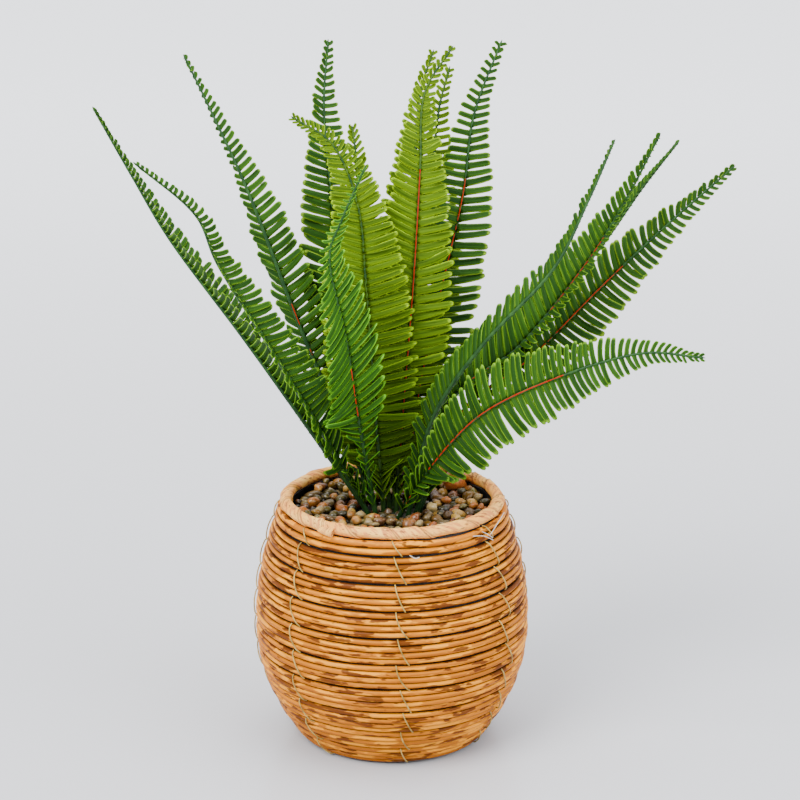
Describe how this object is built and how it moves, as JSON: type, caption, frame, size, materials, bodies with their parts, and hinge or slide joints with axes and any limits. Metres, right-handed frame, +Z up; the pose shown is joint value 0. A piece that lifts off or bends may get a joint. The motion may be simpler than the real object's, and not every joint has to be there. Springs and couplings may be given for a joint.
{
  "type": "potted artificial fern",
  "caption": "Upright spray of moulded fern fronds in a gravel-topped barrel pot of stitched cane courses with a wrapped rim.",
  "frame": {"origin": "centre of the pot foot, on the surface that it stands on", "axes": "+Z up, -Y towards the front, +X to the right seen from the front"},
  "size_m": [0.3198, 0.1798, 0.3451],
  "materials": {
    "fern_mid": "moulded soft plastic, mid green with yellow-green leaflet edges, satin",
    "fern_dark": "moulded soft plastic, dark green with paler leaflet edges, satin",
    "fern_bright": "moulded soft plastic, bright green, satin",
    "fern_light": "moulded soft plastic, light yellow-green, satin",
    "cane": "lacquered orange-tan cane with brown mottling, semi-gloss",
    "husk_strip": "dry beige plant husk strip, satin",
    "stitch_wire": "thin pale gold wire",
    "gravel": "mixed river pebbles, tan, brown and grey, glossy",
    "liner": "dark matte plastic",
    "filler": "dark cast filler, matte",
    "foot_wood": "plain thin board"
  },
  "bodies": {
    "root": {"foot_disc": "foot_wood", "liner_cup": "liner", "filler_block": "filler", "gravel_bed": "gravel", "cane_course_01": "cane", "cane_course_02": "cane", "cane_course_03": "cane", "cane_course_04": "cane", "cane_course_05": "cane", "cane_course_06": "cane", "cane_course_07": "cane", "cane_course_08": "cane", "cane_course_09": "cane", "cane_course_10": "cane", "rim_wrap": "husk_strip", "stitch_wire_1": "stitch_wire", "stitch_wire_2": "stitch_wire", "stitch_wire_3": "stitch_wire", "stitch_wire_4": "stitch_wire", "stitch_wire_5": "stitch_wire", "stitch_wire_6": "stitch_wire", "stitch_wire_7": "stitch_wire", "stitch_wire_8": "stitch_wire", "frond_01_far_left": "fern_mid", "frond_02_left": "fern_mid", "frond_03_left_back": "fern_mid", "frond_04_back": "fern_dark", "frond_05_centre_left": "fern_light", "frond_06_centre_back": "fern_light", "frond_07_front": "fern_bright", "frond_08_centre": "fern_light", "frond_09_centre_far": "fern_light", "frond_10_right_back": "fern_dark", "frond_11_right_upright": "fern_mid", "frond_12_right": "fern_mid", "frond_13_right_behind": "fern_mid", "frond_14_far_right": "fern_dark", "frond_15_right_low": "fern_mid", "frond_16_back_far": "fern_light"}
  },
  "joints": []
}
